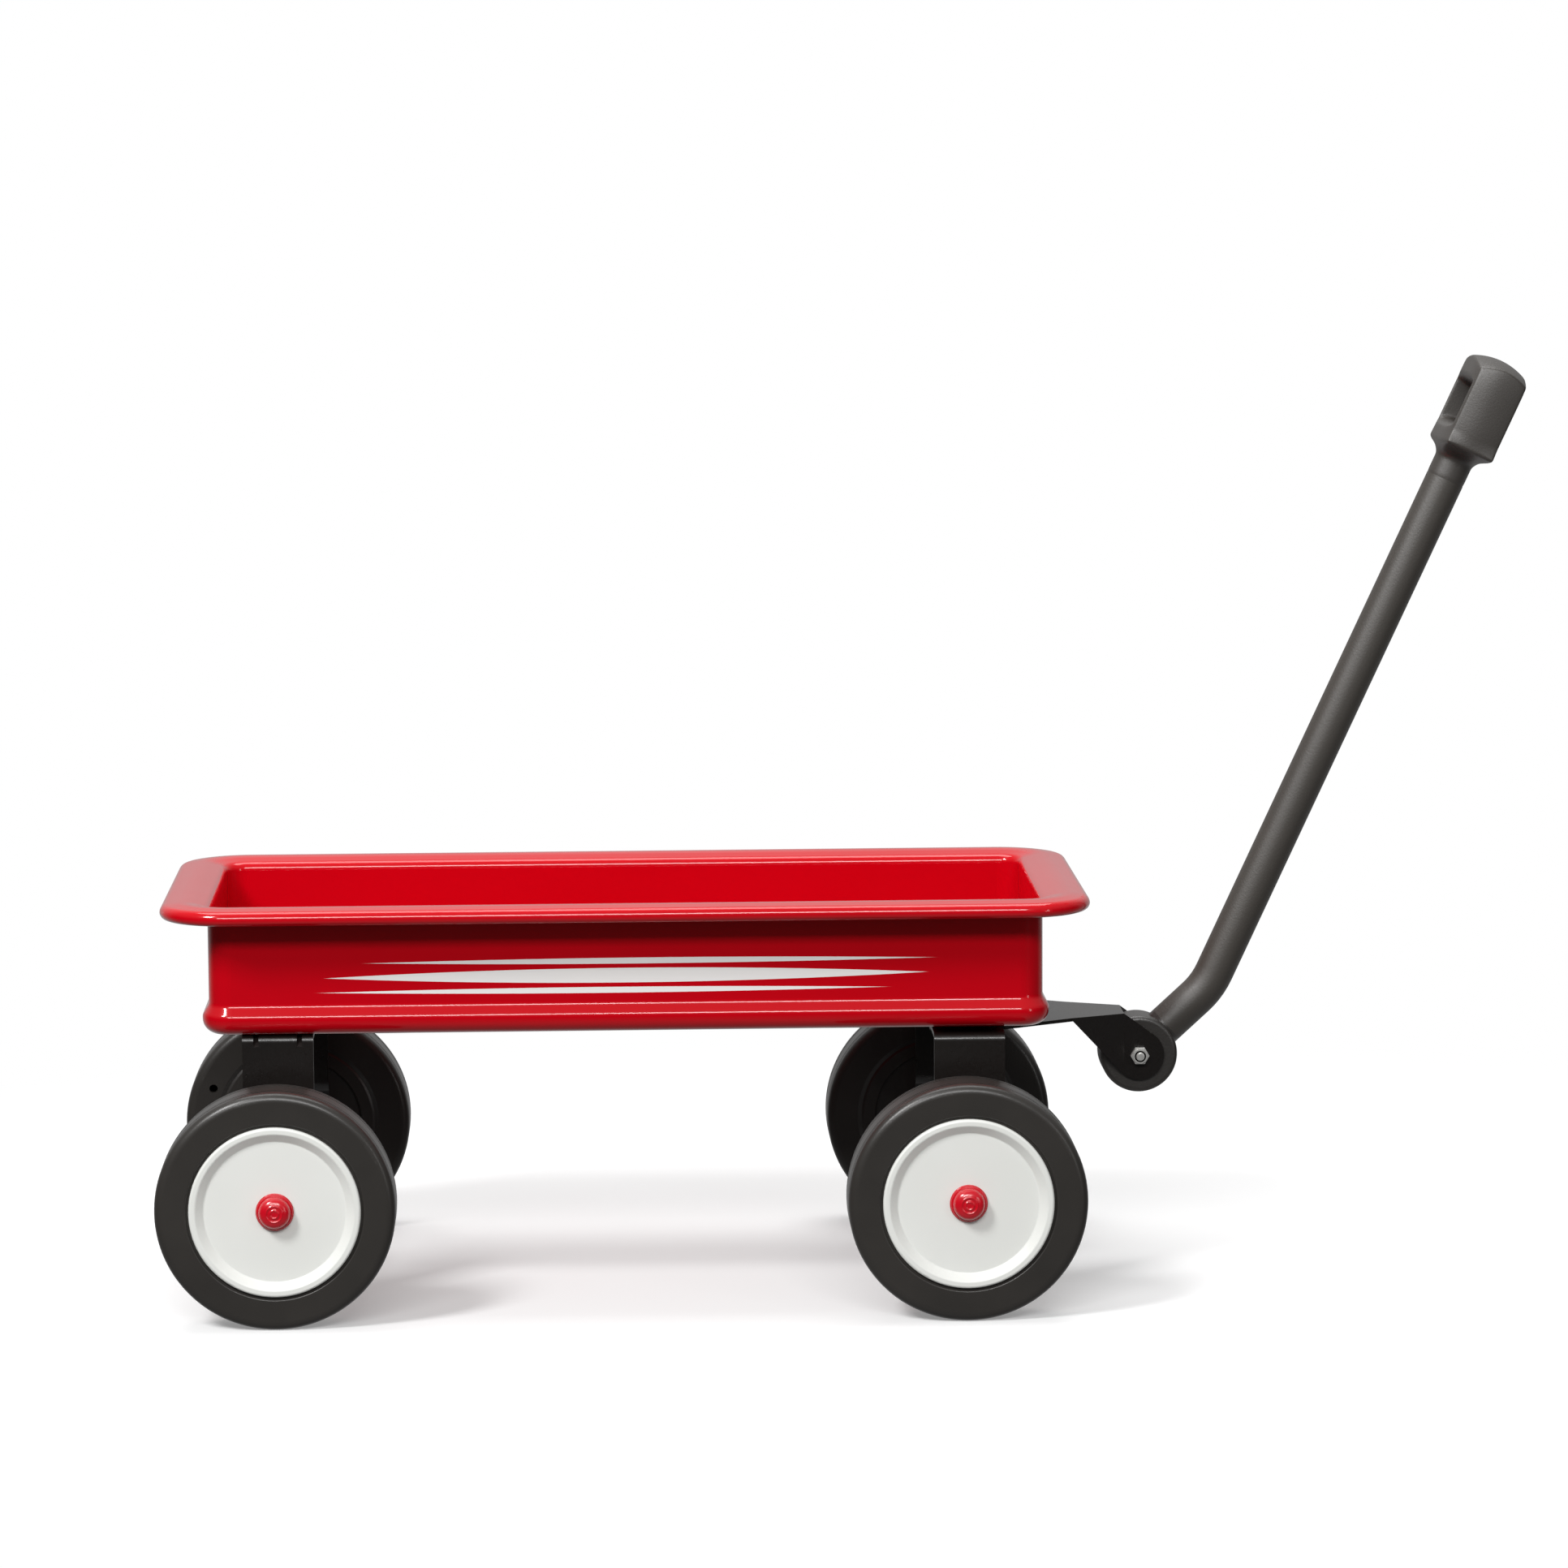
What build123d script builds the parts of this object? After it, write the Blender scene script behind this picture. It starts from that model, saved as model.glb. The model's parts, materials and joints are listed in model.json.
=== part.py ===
"""Toy steel pull wagon: a pressed tray on two strip brackets, steered by a hinged pull handle.

Frame: X runs forward to the handle, Y across the wagon, Z up from the ground in millimetres.
X = 0 is halfway between the rear of the rim and the front of the grip.
"""

import os
from math import acos, cos, degrees, radians, sin

from build123d import *

# Tray of pressed steel
rim_length = 317.5
rim_width = 148.0
rim_top = 140.0
rim_corner = 24.4
rim_overhang = 16.2
rim_roll = 5.8
rim_roll_lip = 3.2
rim_crown = 1.0
tray_underside = 94.5
sheet = 0.9
base_flare = 2.2
base_radius = 5.2
flare_rise = 10.0
flare_straight = 0.65
flare_bend = 3.0
rim_root = 2.2
rim_bow = 12.0
rim_bow_start = 0.45
roll_bend = 2.0
lip_bend = 1.4
panel_raise = 1.6
panel_behind_king = 35.0
panel_ahead_of_rear_axle = 23.0
panel_margin = 11.8
panel_corner = 10.0

# Wheels and axles
wheel_radius = 40.5
wheel_beyond_rim = 20.4
tyre_width = 21.2
tread_shoulder = 3.0
disc_stand_out = 0.8
disc_below_tread = 11.6
disc_lip = 5.0
disc_recess = 2.1
disc_thick = 2.0
bead_groove = 0.8
hub_boss_radius = 9.0
tyre_wall = 2.0
vent_radius = 1.5
vent_below_tread = 7.5
rear_vent_angle = 157.0
front_vent_angle = -60.0
ring_below_tread = 12.5
ring_width = 5.5
ring_raise = 1.4
tread_groove = 0.35
tread_groove_width = 0.7
axle_radius = 2.5
cap_radius = 6.4
cap_flange = 0.9
cap_dome_radius = 5.4
cap_height = 5.0
axle_washer_radius = 5.5
axle_washer_thick = 0.8

# Strip brackets
rear_axle_inset = 39.75
king_inset = 41.75
front_trail = 2.8
strip_width = 24.2
strip_thick = 1.6
leg_inside_wall = 0.8
leg_to_tyre = 4.2
joggle_above_axle = 7.5
joggle_rise = 9.0
leg_below_axle = 10.5
strip_bend = 2.6
leg_end_corner = 8.0
dart_spacing = 14.8
dart_width = 3.4
dart_groove = 1.8
dart_leg = 7.0
dart_groove_leg = 4.0

# Steering stack under the front of the tray
bolster_thick = 1.2
bolster_front = 21.0
bolster_width = 76.0
bolster_corner = 6.0
bearing_thick = 0.8
bearing_radius = 11.0
king_radius = 2.5
king_head_radius = 5.6
king_head_height = 1.9
king_nut_flats = 8.0
king_nut_height = 4.4
king_washer_radius = 6.0
king_washer_thick = 0.8
steer_limit = 38.5
stop_radius = 36.0
stop_size = 3.0
stop_to_edge = 1.0

# Fasteners of the tray and brackets
screw_radius = 1.5
screw_head_radius = 3.2
screw_head_height = 1.3
screw_pitch_x = 13.0
screw_pitch_y = 76.0
nut_flats = 5.7
nut_height = 3.2
rivet_radius = 1.6
rivet_head_radius = 3.4
rivet_head_height = 1.3
rivet_tail_radius = 3.0
rivet_tail_height = 0.6
bolt_tail = 0.6
rivet_pitch_x = 32.0
rivet_pitch_y = 58.0
tongue_rivet_pitch_x = 12.0
tongue_rivet_pitch_y = 44.0

# Hitch tongue
tongue_reach = 62.8
pivot_height = 76.0
tongue_sheet = 1.2
tongue_back_width = 66.0
tongue_back = 12.0
tongue_wide_front = 14.0
flange_taper = 18.7
flange_start_width = 36.0
ear_straight = 5.4
ear_gap = 16.4
ear_radius = 8.7

# Pull handle
hub_radius = 13.5
hub_side_clearance = 0.4
hub_edge = 1.6
tube_diameter = 13.5
tube_wall = 1.2
tube_bend = 28.0
lower_angle = 42.5
upper_angle = 65.1
lower_run = 33.6
upper_run = 196.1
tube_beyond_hub = 0.5
spigot_length = 12.0
grip_length = 45.0
grip_shoulder = 12.0
grip_neck = 6.0
grip_side_top = 40.5
grip_width = 40.0
grip_thick = 19.0
grip_slot_start = 19.3
grip_slot_length = 14.7
grip_side = 4.6
grip_edge = 1.6
hitch_bolt_radius = 1.5
hitch_head_radius = 3.0
hitch_head_height = 2.0

# Clearances
running_clearance = 0.08
hole_clearance = 0.1
face_clearance = 0.2
spigot_clearance = 0.05


def along(start, angle, distance):
    """Point of the XZ plane at a distance from start, along an angle above the X axis."""
    return (start[0] + distance * cos(radians(angle)), start[1] + distance * sin(radians(angle)))


# Places worked out from the sizes
king_ahead = rim_length / 2 - king_inset
rear_axle_behind = rim_length / 2 - rear_axle_inset
tube_start = hub_radius + tube_beyond_hub
pivot_ahead = king_ahead + tongue_reach
handle_ahead = lower_run * cos(radians(lower_angle)) + (upper_run + grip_length) * cos(radians(upper_angle))
grip_front = pivot_ahead + handle_ahead + grip_thick / 2 * sin(radians(upper_angle))
bed_x = (rim_length / 2 - grip_front) / 2
rear_x = bed_x - rear_axle_behind
king_x = bed_x + king_ahead
front_axle_x = king_x - front_trail
panel_front = king_x - panel_behind_king
panel_rear = rear_x + panel_ahead_of_rear_axle
wall_half_length = rim_length / 2 - rim_overhang
wall_half_width = rim_width / 2 - rim_overhang
wall_corner = rim_corner - rim_overhang
panel_width = 2 * (wall_half_width - panel_margin)
tray_floor = tray_underside + sheet
pivot = (bed_x + pivot_ahead, pivot_height)
bend_point = along(pivot, lower_angle, lower_run)
tube_end = along(bend_point, upper_angle, upper_run)
bolster_underside = tray_underside - bolster_thick
crossbar_top = bolster_underside - bearing_thick - face_clearance / 2
crossbar_underside = crossbar_top - strip_thick
tongue_underside = crossbar_underside - tongue_sheet
wheel_outer_face = rim_width / 2 + wheel_beyond_rim
tyre_inner_face = wheel_outer_face - tyre_width
leg_upper = wall_half_width - leg_inside_wall
leg_lower = tyre_inner_face - leg_to_tyre
joggle_bottom = wheel_radius + joggle_above_axle
joggle_top = joggle_bottom + joggle_rise
leg_end = wheel_radius - leg_below_axle
disc_radius = wheel_radius - disc_below_tread
disc_flat_radius = disc_radius - disc_lip
ring_outer = wheel_radius - ring_below_tread
ring_inner = ring_outer - ring_width
vent_ring = wheel_radius - vent_below_tread
washer_outer_face = leg_lower + axle_washer_thick
hub_inner_face = washer_outer_face + face_clearance
disc_face = wheel_outer_face + disc_stand_out
disc_front = disc_face - disc_recess
disc_back = disc_front - disc_thick
cap_face = disc_front + face_clearance
tube_radius = tube_diameter / 2
neck_radius = tube_radius - tube_wall - spigot_clearance
ear_start = tongue_reach - ear_straight
flange_start = ear_start - flange_taper
ear_outer = ear_gap / 2 + tongue_sheet
hub_width = ear_gap - 2 * hub_side_clearance
bolster_rear = stop_radius + stop_to_edge


# Tray: floor, flared base, upright walls and a rolled rim, pressed from one sheet
corner_x = bed_x + wall_half_length - wall_corner
corner_y = -(wall_half_width - wall_corner)
floor_start = wall_corner - 0.4
floor_overlap = wall_corner - 2.2


def wall_section(plane):
    """Section of the tray's edge, with x outward from the wall's outer face and y up."""
    with BuildSketch(plane) as section:
        with BuildLine():
            FilletPolyline(
                (-floor_start, tray_underside),
                (base_flare, tray_underside),
                (base_flare, tray_underside + flare_rise * flare_straight),
                (0, tray_underside + flare_rise),
                (0, rim_top - sheet - 2 * rim_crown),
                (rim_overhang * rim_bow_start, rim_top - sheet),
                (rim_overhang - sheet, rim_top - sheet - rim_crown),
                (rim_overhang - sheet, rim_top - rim_roll + sheet),
                (rim_overhang - sheet - rim_roll_lip, rim_top - rim_roll + sheet),
                radius=[base_radius, flare_bend, flare_bend, rim_root, rim_bow, roll_bend, lip_bend],
            )
            offset(amount=sheet, side=Side.LEFT)
        make_face()
    return section.sketch


with BuildPart() as wagon_body:
    side_section = wall_section(Plane((corner_x, -wall_half_width, 0), (0, -1, 0), (-1, 0, 0)))
    extrude(side_section.face(), amount=corner_x - bed_x)
    revolve(side_section.face(), axis=Axis((corner_x, corner_y, 0), (0, 0, 1)), revolution_arc=90)
    end_section = wall_section(Plane((bed_x + wall_half_length, corner_y, 0), (1, 0, 0), (0, -1, 0)))
    extrude(end_section.face(), amount=corner_y)
    mirror(about=Plane.XZ)
    mirror(about=Plane.YZ.offset(bed_x))
    with BuildSketch(Plane.XY.offset(tray_underside)):
        with Locations((bed_x, 0)):
            RectangleRounded(
                2 * (wall_half_length - floor_overlap),
                2 * (wall_half_width - floor_overlap),
                wall_corner - floor_overlap,
            )
    extrude(amount=sheet)
    with BuildSketch(Plane.XY.offset(tray_underside)):
        with Locations(((panel_front + panel_rear) / 2, 0)):
            RectangleRounded(panel_front - panel_rear, panel_width, panel_corner)
    extrude(amount=sheet + panel_raise)
    with BuildSketch(Plane.XY.offset(tray_underside)):
        with Locations(((panel_front + panel_rear) / 2, 0)):
            RectangleRounded(
                panel_front - panel_rear - 2 * sheet,
                panel_width - 2 * sheet,
                panel_corner - sheet,
            )
    extrude(amount=panel_raise, mode=Mode.SUBTRACT)
    with BuildSketch(Plane.XY.offset(tray_underside)):
        with Locations((rear_x, 0)):
            with GridLocations(screw_pitch_x, screw_pitch_y, 2, 2):
                Circle(screw_radius + hole_clearance)
        with Locations((king_x, 0)):
            with GridLocations(rivet_pitch_x, rivet_pitch_y, 2, 2):
                Circle(rivet_radius)
        with Locations((king_x, 0)):
            Circle(king_radius + hole_clearance)
    extrude(amount=sheet, mode=Mode.SUBTRACT)


# Strip brackets: an inverted U, its legs joggled outward near the axle
def strip_bracket(strip_x, web_top, axle_x, holes, darts=()):
    """A bent steel strip across the wagon, with darts pressed into its top bends if any are given."""
    with BuildPart() as bracket:
        with BuildSketch(Plane.YZ.offset(strip_x)):
            with BuildLine():
                FilletPolyline(
                    (-leg_lower, leg_end),
                    (-leg_lower, joggle_bottom),
                    (-leg_upper, joggle_top),
                    (-leg_upper, web_top),
                    (leg_upper, web_top),
                    (leg_upper, joggle_top),
                    (leg_lower, joggle_bottom),
                    (leg_lower, leg_end),
                    radius=strip_bend,
                )
                offset(amount=strip_thick, side=Side.RIGHT)
            make_face()
        extrude(amount=strip_width / 2, both=True)
        fillet(bracket.edges().filter_by(Axis.Y).group_by(Axis.Z)[0], leg_end_corner)
        inner = leg_upper - strip_thick
        under = web_top - strip_thick
        for side in (-1, 1):
            for dart_x in darts:
                with BuildSketch(Plane.YZ.offset(dart_x)):
                    with BuildLine():
                        Polyline(
                            (side * (inner + 0.5), under + 0.5),
                            (side * (inner - dart_leg), under + 0.5),
                            (side * (inner - dart_leg), under),
                            (side * inner, under - dart_leg),
                            (side * (inner + 0.5), under - dart_leg),
                            close=True,
                        )
                    make_face()
                extrude(amount=dart_width / 2, both=True)
                with BuildSketch(Plane.YZ.offset(dart_x)):
                    with BuildLine():
                        Polyline(
                            (side * (leg_upper + 1), web_top + 1),
                            (side * (leg_upper - dart_groove_leg - 1), web_top + 1),
                            (side * (leg_upper + 1), web_top - dart_groove_leg - 1),
                            close=True,
                        )
                    make_face()
                extrude(amount=dart_groove / 2, both=True, mode=Mode.SUBTRACT)
        with BuildSketch(Plane.XZ):
            with Locations((axle_x, wheel_radius)):
                Circle(axle_radius)
        extrude(amount=leg_lower + strip_thick, both=True, mode=Mode.SUBTRACT)
        for grid_x, pitch_x, pitch_y, count, hole in holes:
            with BuildSketch(Plane.XY.offset(under)):
                with Locations((grid_x, 0)):
                    with GridLocations(pitch_x, pitch_y, count, count):
                        Circle(hole)
            extrude(amount=strip_thick, mode=Mode.SUBTRACT)
    return bracket.part


rear_axle_bracket = strip_bracket(
    rear_x,
    tray_underside,
    rear_x,
    [(rear_x, screw_pitch_x, screw_pitch_y, 2, screw_radius + hole_clearance)],
    (rear_x - dart_spacing / 2, rear_x + dart_spacing / 2),
)
front_axle_bracket = strip_bracket(
    king_x,
    crossbar_top,
    front_axle_x,
    [
        (king_x, 1, 1, 1, king_radius + running_clearance),
        (king_x, tongue_rivet_pitch_x, tongue_rivet_pitch_y, 2, rivet_radius),
    ],
)


# Fixings
def headed_pins(top, head, head_height, shank, bottom, centre_x, pitch_x, pitch_y, tail=0, tail_height=0):
    """Four round-headed pins on a rectangle, heads up, with a set-down tail if they are rivets."""
    with BuildPart() as pins:
        with Locations((centre_x, 0, 0)):
            with GridLocations(pitch_x, pitch_y, 2, 2):
                with Locations((0, 0, top)):
                    Cylinder(head, head_height, align=(Align.CENTER, Align.CENTER, Align.MIN))
                with Locations((0, 0, bottom)):
                    Cylinder(shank, top - bottom, align=(Align.CENTER, Align.CENTER, Align.MIN))
                    if tail:
                        Cylinder(tail, tail_height, align=(Align.CENTER, Align.CENTER, Align.MAX))
        fillet(pins.edges().filter_by(GeomType.CIRCLE).group_by(Axis.Z)[-1], head_height * 0.7)
    return pins.part


def lock_nut(plane, bore, flats, height):
    """A hexagon nut with a raised locking collar on its outer side."""
    collar = height * 0.25
    with BuildPart() as nut:
        with BuildSketch(plane):
            RegularPolygon(flats / 2, 6, major_radius=False)
        extrude(amount=height - collar)
        chamfer(nut.edges().filter_by(GeomType.LINE).group_by(SortBy.LENGTH)[-1], flats * 0.03)
        with BuildSketch(plane.offset(height - collar)):
            Circle(flats * 0.44)
        extrude(amount=collar)
        with BuildSketch(plane):
            Circle(bore)
        extrude(amount=height, mode=Mode.SUBTRACT)
    return nut.part


rear_web_underside = tray_underside - strip_thick
rear_bracket_screws = headed_pins(
    tray_floor,
    screw_head_radius,
    screw_head_height,
    screw_radius,
    rear_web_underside - nut_height - bolt_tail,
    rear_x,
    screw_pitch_x,
    screw_pitch_y,
)
with BuildPart() as rear_bracket_nuts:
    with Locations((rear_x, 0, rear_web_underside - nut_height)):
        with GridLocations(screw_pitch_x, screw_pitch_y, 2, 2):
            add(lock_nut(Plane.XY, screw_radius, nut_flats, nut_height))

# Front bolster: a plate under the tray, with two stops that limit the steering
with BuildPart() as bolster_plate:
    with BuildSketch(Plane.XY.offset(bolster_underside)):
        with Locations((king_x + (bolster_front - bolster_rear) / 2, 0)):
            RectangleRounded(bolster_front + bolster_rear, bolster_width, bolster_corner)
    extrude(amount=bolster_thick)
    stop_turn = degrees(acos((strip_width + stop_size) / 2 / stop_radius)) - steer_limit
    with BuildSketch(Plane.XY.offset(crossbar_underside + face_clearance)):
        for side in (-1, 1):
            with Locations(along((king_x, 0), 180 + side * stop_turn, stop_radius)):
                Circle(stop_size / 2)
    extrude(amount=bolster_underside - crossbar_underside - face_clearance)
    with BuildSketch(Plane.XY.offset(bolster_underside)):
        with Locations((king_x, 0)):
            with GridLocations(rivet_pitch_x, rivet_pitch_y, 2, 2):
                Circle(rivet_radius)
        with Locations((king_x, 0)):
            Circle(king_radius + hole_clearance)
    extrude(amount=bolster_thick, mode=Mode.SUBTRACT)

bolster_rivets = headed_pins(
    tray_floor,
    rivet_head_radius,
    rivet_head_height,
    rivet_radius,
    bolster_underside,
    king_x,
    rivet_pitch_x,
    rivet_pitch_y,
    rivet_tail_radius,
    rivet_tail_height,
)

with BuildPart() as bearing_washer:
    with BuildSketch(Plane.XY.offset(bolster_underside - bearing_thick)):
        with Locations((king_x, 0)):
            Circle(bearing_radius)
            Circle(king_radius + hole_clearance, mode=Mode.SUBTRACT)
    extrude(amount=bearing_thick)

king_washer_top = tongue_underside - face_clearance / 2
king_nut_top = king_washer_top - king_washer_thick
with BuildPart() as king_bolt:
    with BuildSketch(Plane.XY.offset(tray_floor)):
        with Locations((king_x, 0)):
            Circle(king_head_radius)
    extrude(amount=king_head_height)
    fillet(king_bolt.edges().filter_by(GeomType.CIRCLE).group_by(Axis.Z)[-1], king_head_height * 0.8)
    with BuildSketch(Plane.XY.offset(tray_floor)):
        with Locations((king_x, 0)):
            Circle(king_radius)
    extrude(amount=king_nut_top - king_nut_height - bolt_tail - tray_floor)

with BuildPart() as king_washer:
    with BuildSketch(Plane.XY.offset(king_nut_top)):
        with Locations((king_x, 0)):
            Circle(king_washer_radius)
            Circle(king_radius + hole_clearance, mode=Mode.SUBTRACT)
    extrude(amount=king_washer_thick)

king_nut_plane = Plane((king_x, 0, king_nut_top), (1, 0, 0), (0, 0, -1))
king_nut = lock_nut(king_nut_plane, king_radius, king_nut_flats, king_nut_height)

# Hitch tongue: one folded sheet, riveted under the crossbar, with two ears for the handle
with BuildPart() as hitch_tongue:
    for side in (-1, 1):
        with BuildSketch(Plane.XY.offset(crossbar_underside)):
            with BuildLine():
                Polyline(
                    (king_x + flange_start, side * flange_start_width / 2),
                    (king_x + ear_start, side * ear_outer),
                    (pivot[0] + ear_radius, side * ear_outer),
                )
                offset(amount=tongue_sheet, side=Side.RIGHT if side > 0 else Side.LEFT)
            make_face()
        extrude(amount=-(crossbar_underside - pivot_height + ear_radius))
    with BuildSketch(Plane.XZ):
        with BuildLine():
            Polyline(
                (king_x + flange_start, crossbar_underside),
                (king_x + ear_start, crossbar_underside),
                (king_x + ear_start, pivot_height),
                (king_x + flange_start, crossbar_underside - tongue_sheet),
                close=True,
            )
        make_face()
        with Locations(pivot):
            Circle(ear_radius)
        make_hull()
    extrude(amount=flange_start_width, both=True, mode=Mode.INTERSECT)
    with BuildSketch(Plane.XY.offset(crossbar_underside)):
        with BuildLine():
            Polyline(
                (king_x - tongue_back, -tongue_back_width / 2),
                (king_x + tongue_wide_front, -tongue_back_width / 2),
                (king_x + flange_start, -flange_start_width / 2),
                (king_x + ear_start, -ear_outer),
                (king_x + ear_start, ear_outer),
                (king_x + flange_start, flange_start_width / 2),
                (king_x + tongue_wide_front, tongue_back_width / 2),
                (king_x - tongue_back, tongue_back_width / 2),
                close=True,
            )
        make_face()
    extrude(amount=-tongue_sheet)
    with BuildSketch(Plane.XZ):
        with Locations(pivot):
            Circle(hitch_bolt_radius + hole_clearance)
    extrude(amount=ear_outer, both=True, mode=Mode.SUBTRACT)
    with BuildSketch(Plane.XY.offset(tongue_underside)):
        with Locations((king_x, 0)):
            Circle(king_radius + running_clearance)
        with Locations((king_x, 0)):
            with GridLocations(tongue_rivet_pitch_x, tongue_rivet_pitch_y, 2, 2):
                Circle(rivet_radius)
    extrude(amount=tongue_sheet, mode=Mode.SUBTRACT)

tongue_rivets = headed_pins(
    crossbar_top,
    rivet_radius,
    rivet_tail_height,
    rivet_radius,
    tongue_underside,
    king_x,
    tongue_rivet_pitch_x,
    tongue_rivet_pitch_y,
    rivet_tail_radius,
    rivet_head_height,
)

# Handle pivot: a bolt across the ears, locked by a nut on the right
with BuildPart() as hitch_bolt:
    with BuildSketch(Plane.XZ.offset(-ear_outer)):
        with Locations(pivot):
            Circle(hitch_head_radius)
    extrude(amount=-hitch_head_height)
    fillet(hitch_bolt.edges().filter_by(GeomType.CIRCLE).group_by(Axis.Y)[-1], hitch_head_height * 0.6)
    with BuildSketch(Plane.XZ.offset(-ear_outer)):
        with Locations(pivot):
            Circle(hitch_bolt_radius)
    extrude(amount=2 * ear_outer + nut_height + bolt_tail)
    fillet(hitch_bolt.edges().filter_by(GeomType.CIRCLE).group_by(Axis.Y)[0], 0.5)

hitch_nut = lock_nut(
    Plane((pivot[0], -ear_outer, pivot_height), (1, 0, 0), (0, -1, 0)),
    hitch_bolt_radius,
    nut_flats,
    nut_height,
)

# Pull handle: hub, bent tube and looped grip
lower_direction = (cos(radians(lower_angle)), 0, sin(radians(lower_angle)))
upper_direction = (cos(radians(upper_angle)), 0, sin(radians(upper_angle)))
tube_foot = along(pivot, lower_angle, tube_start)
with BuildPart() as handle_hub:
    with BuildSketch(Plane.XZ):
        with Locations(pivot):
            Circle(hub_radius)
    extrude(amount=hub_width / 2, both=True)
    fillet(handle_hub.edges().filter_by(GeomType.CIRCLE), hub_edge)
    with BuildSketch(Plane((pivot[0], 0, pivot[1]), (0, 1, 0), lower_direction).offset(hub_radius / 2)):
        Circle(tube_radius)
    extrude(amount=tube_start - hub_radius / 2)
    with BuildSketch(Plane((tube_foot[0], 0, tube_foot[1]), (0, 1, 0), lower_direction)):
        Circle(neck_radius)
    extrude(amount=spigot_length)
    with BuildSketch(Plane.XZ):
        with Locations(pivot):
            Circle(hitch_bolt_radius + running_clearance)
    extrude(amount=hub_width, both=True, mode=Mode.SUBTRACT)

with BuildPart() as handle_tube:
    with BuildLine(Plane.XZ):
        FilletPolyline(tube_foot, bend_point, tube_end, radius=tube_bend)
    with BuildSketch(Plane((tube_foot[0], 0, tube_foot[1]), (0, 1, 0), lower_direction)):
        Circle(tube_radius)
        Circle(tube_radius - tube_wall, mode=Mode.SUBTRACT)
    sweep()

grip_plane = Plane((tube_end[0], 0, tube_end[1]), (0, 1, 0), upper_direction)
grip_face_plane = Plane(grip_plane.origin, (0, 1, 0), -grip_plane.y_dir)
grip_side_plane = Plane(grip_plane.origin, -grip_plane.y_dir, (0, -1, 0))
with BuildPart() as handle_grip:
    with BuildSketch(grip_face_plane):
        with BuildLine():
            FilletPolyline(
                (-grip_width / 2, grip_side_top),
                (-grip_width / 2, grip_shoulder),
                (-tube_radius, grip_neck),
                (-tube_radius, grip_neck / 2),
                (tube_radius, grip_neck / 2),
                (tube_radius, grip_neck),
                (grip_width / 2, grip_shoulder),
                (grip_width / 2, grip_side_top),
                radius=[3.0, 3.5, 0, 0, 3.5, 3.0],
            )
            ThreePointArc(
                (-grip_width / 2, grip_side_top),
                (0, grip_length),
                (grip_width / 2, grip_side_top),
            )
        make_face()
    extrude(amount=grip_thick / 2, both=True)
    with BuildSketch(grip_side_plane):
        with BuildLine():
            Polyline(
                (-grip_thick / 2, grip_length),
                (-grip_thick / 2, grip_shoulder),
                (-tube_radius, grip_neck),
                (-tube_radius, 0),
                (tube_radius, 0),
                (tube_radius, grip_neck),
                (grip_thick / 2, grip_shoulder),
                (grip_thick / 2, grip_length),
                close=True,
            )
        make_face()
    extrude(amount=grip_width, both=True, mode=Mode.INTERSECT)
    with BuildSketch(grip_face_plane):
        with Locations((0, grip_slot_start + grip_slot_length / 2)):
            RectangleRounded(grip_width - 2 * grip_side, grip_slot_length, 4.0)
    extrude(amount=grip_thick, both=True, mode=Mode.SUBTRACT)
    with BuildSketch(grip_plane):
        Circle(tube_radius)
    extrude(amount=grip_neck + 2)
    with BuildSketch(grip_plane):
        Circle(neck_radius)
    extrude(amount=-spigot_length)
    crown_edges = handle_grip.edges().filter_by(GeomType.CIRCLE).filter_by(
        lambda edge: edge.radius > grip_width / 2
    )
    fillet(crown_edges, grip_edge)


# Wheels: a hollow moulded tyre with a disc pressed into its outer side
def wheel_profile(side, wheel_x, points, radii):
    """Closed outline in a wheel's half section, from (distance from the middle, radius) points."""
    places = [(side * across, wheel_radius + radius) for across, radius in points]
    with BuildSketch(Plane.YZ.offset(wheel_x)) as profile:
        with BuildLine():
            FilletPolyline(*places, radius=radii, close=True)
        make_face()
    return profile.sketch.face()


def wheel_axis(wheel_x):
    """The axle line of a wheel."""
    return Axis((wheel_x, 0, wheel_radius), (0, 1, 0))


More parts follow.
